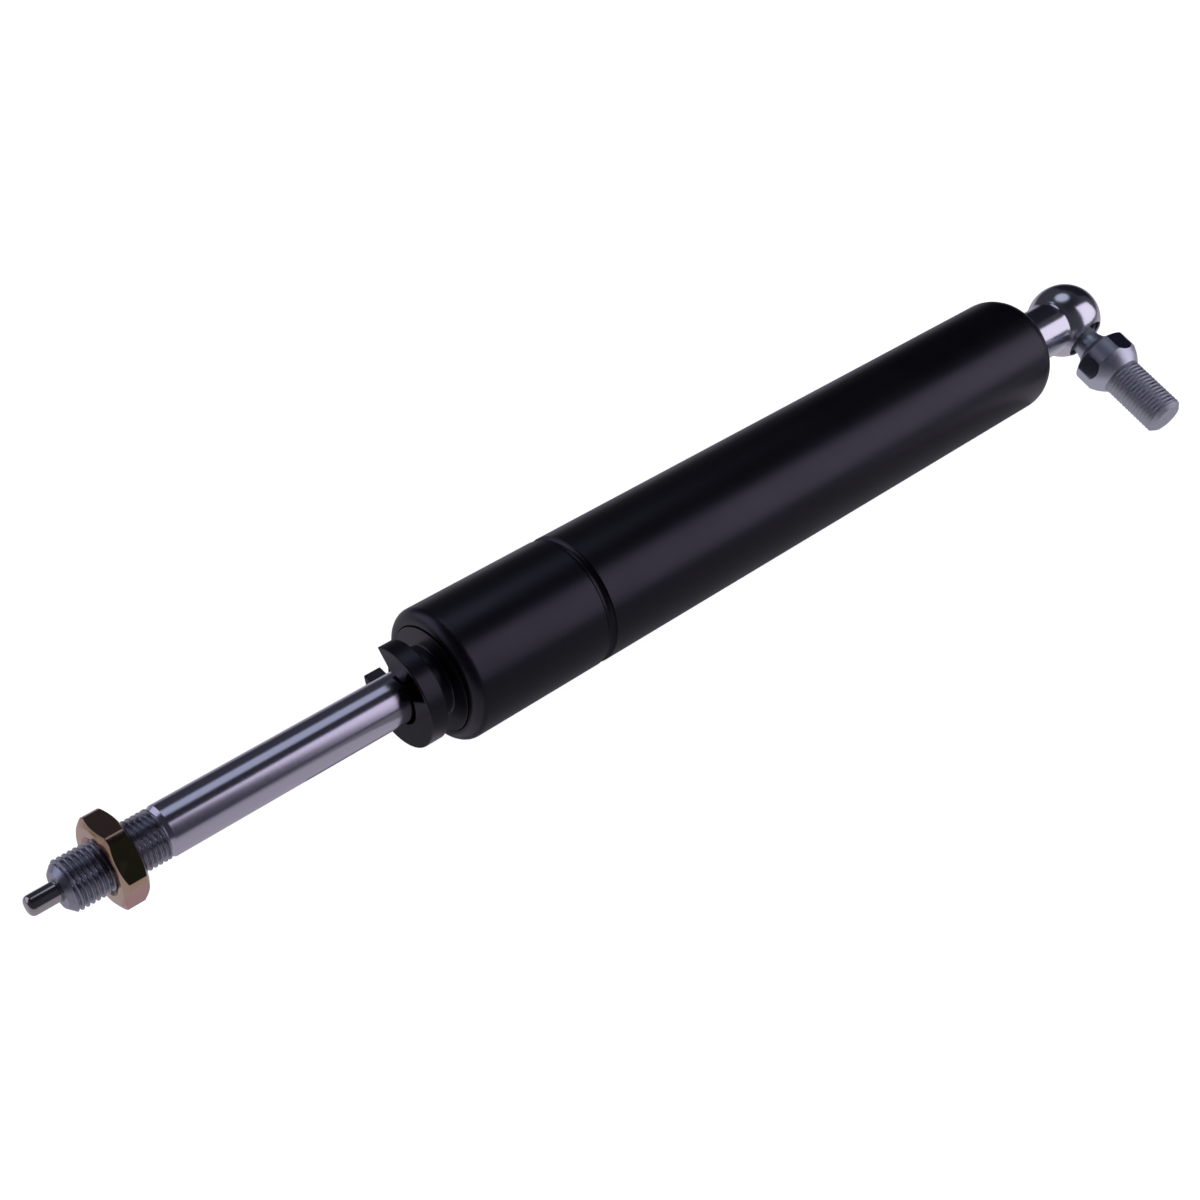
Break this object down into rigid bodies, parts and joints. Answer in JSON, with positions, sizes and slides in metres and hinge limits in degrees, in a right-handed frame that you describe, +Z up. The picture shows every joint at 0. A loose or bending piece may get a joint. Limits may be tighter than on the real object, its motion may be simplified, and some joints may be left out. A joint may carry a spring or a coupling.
{
  "type": "lockable gas spring",
  "caption": "Lockable gas spring with a black tube, chromed rod, release pin in the threaded rod end, lock nut, moulded collar and a ball joint with a threaded stud.",
  "frame": {"origin": "centre of the ball joint, where the spring is fixed by its stud", "axes": "X along the tube from the rod end to the ball end; Z up with the spring lying on its side; Y away from the side the stud points to"},
  "size_m": [0.2983, 0.0508, 0.0282],
  "materials": {
    "black_paint": "smooth black paint, semi-gloss",
    "black_moulding": "moulded plastic, fine matt grain",
    "rod_chrome": "ground and hard chromed",
    "nut_yellow_zinc": "yellow passivated zinc",
    "pin_steel": "dark ground steel",
    "socket_chrome": "bright chrome",
    "stud_zinc": "bright zinc over cold-formed steel",
    "liner_plastic": "moulded acetal",
    "seal_rubber": "moulded nitrile rubber",
    "washer_steel": "stamped",
    "guide_aluminium": "turned",
    "bush_brass": "turned",
    "ring_plastic": "filled PTFE"
  },
  "bodies": {
    "cylinder": {"pressure_tube": "black_paint", "front_collar": "black_moulding", "wiper_ring": "seal_rubber", "seal_backing_washer": "washer_steel", "rod_seal": "seal_rubber", "seal_support_washer": "washer_steel", "rod_guide": "guide_aluminium", "guide_bush": "bush_brass", "guide_o_ring": "seal_rubber", "stop_washer": "washer_steel", "end_plug": "washer_steel", "end_plug_o_ring": "seal_rubber", "ball_socket": "socket_chrome"},
    "piston_ring": {"piston_ring": "ring_plastic", "piston_ring_energiser": "seal_rubber"},
    "rod": {"piston_rod": "rod_chrome", "piston": "guide_aluminium", "valve_body": "washer_steel", "stem_seal": "seal_rubber", "seal_retainer": "ring_plastic"},
    "release": {"release_pin": "pin_steel", "push_rod": "washer_steel", "valve_stem": "washer_steel"},
    "lock_nut": {"lock_nut": "nut_yellow_zinc"},
    "separator": {"separator_piston": "guide_aluminium", "separator_o_rings": "seal_rubber"},
    "seat": {"ball_seat": "liner_plastic"},
    "stud": {"ball_stud": "stud_zinc"}
  },
  "joints": [
    {"name": "rod_slide", "type": "slide", "parent": "cylinder", "child": "piston_ring", "axis": [1, 0, 0], "range_m": [0, 0.045]},
    {"name": "rod_spin", "type": "hinge", "parent": "piston_ring", "child": "rod", "pos_m": [-0.1589, 0, 0], "axis": [1, 0, 0], "continuous": true},
    {"name": "pin_press", "type": "slide", "parent": "rod", "child": "release", "axis": [1, 0, 0], "range_m": [0, 0.0025], "stiffness_N_per_m": 4000, "springref_m": -0.002},
    {"name": "nut_travel", "type": "slide", "parent": "rod", "child": "lock_nut", "axis": [1, 0, 0], "range_m": [-0.0065, 0.0055]},
    {"name": "separator_slide", "type": "slide", "parent": "cylinder", "child": "separator", "axis": [1, 0, 0], "range_m": [0, 0.0072]},
    {"name": "stud_spin", "type": "hinge", "parent": "cylinder", "child": "seat", "pos_m": [0, 0, 0], "axis": [0, -0.965, -0.2622], "continuous": true},
    {"name": "stud_tilt", "type": "hinge", "parent": "seat", "child": "stud", "pos_m": [0, 0, 0], "axis": [0, -0.2622, 0.965], "range_deg": [-4.5, 17]}
  ],
  "couplings": [
    {"joint": "separator_slide", "follows": "rod_slide", "ratio": 0.16}
  ]
}
